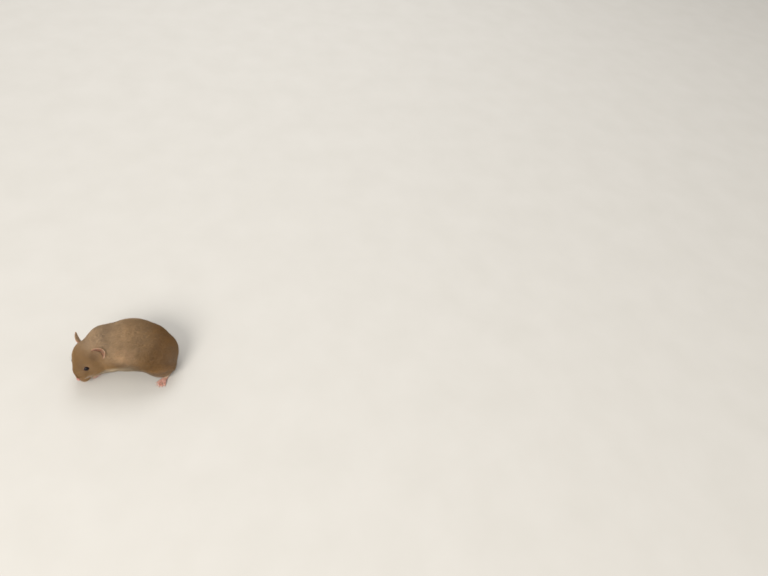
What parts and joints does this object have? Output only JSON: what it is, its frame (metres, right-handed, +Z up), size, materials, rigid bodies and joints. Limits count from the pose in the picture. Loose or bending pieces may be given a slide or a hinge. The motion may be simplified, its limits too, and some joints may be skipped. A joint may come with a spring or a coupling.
{
  "type": "syrian hamster model",
  "caption": "Life-size still model of a golden Syrian hamster standing low on four feet, back arched, head turned to its left and nose down.",
  "frame": {"origin": "on the floor, under the middle of the animal's box", "axes": "+Z up, -Y the way the body faces, +X the animal's left side"},
  "size_m": [0.0792, 0.1202, 0.0608],
  "materials": {
    "coat": "short dense golden fur, darker towards the rump, paler below",
    "face_coat": "very short orange-brown fur",
    "ear_skin": "thin soft skin with sparse down",
    "foot_skin": "soft pink skin",
    "nose_skin": "moist pink skin",
    "eye": "wet, very dark claret brown",
    "claw": "pale horn, slightly glossy"
  },
  "bodies": {
    "root": {"claw_forepaw_left_1": "claw", "claw_forepaw_left_2": "claw", "claw_forepaw_left_3": "claw", "claw_forepaw_left_4": "claw", "claw_forepaw_right_1": "claw", "claw_forepaw_right_2": "claw", "claw_forepaw_right_3": "claw", "claw_forepaw_right_4": "claw", "claw_hindfoot_left_1": "claw", "claw_hindfoot_left_2": "claw", "claw_hindfoot_left_3": "claw", "claw_hindfoot_left_4": "claw", "claw_hindfoot_left_5": "claw", "claw_hindfoot_right_1": "claw", "claw_hindfoot_right_2": "claw", "claw_hindfoot_right_3": "claw", "claw_hindfoot_right_4": "claw", "claw_hindfoot_right_5": "claw", "ear_left": "ear_skin", "ear_right": "ear_skin", "eye_left": "eye", "eye_right": "eye", "foreleg_left": "coat", "foreleg_right": "coat", "forepaw_left": "foot_skin", "forepaw_right": "foot_skin", "head": "face_coat", "hindfoot_left": "foot_skin", "hindfoot_right": "foot_skin", "hindleg_left": "coat", "hindleg_right": "coat", "neck": "coat", "nose": "nose_skin", "tail": "coat", "trunk": "coat"}
  },
  "joints": []
}
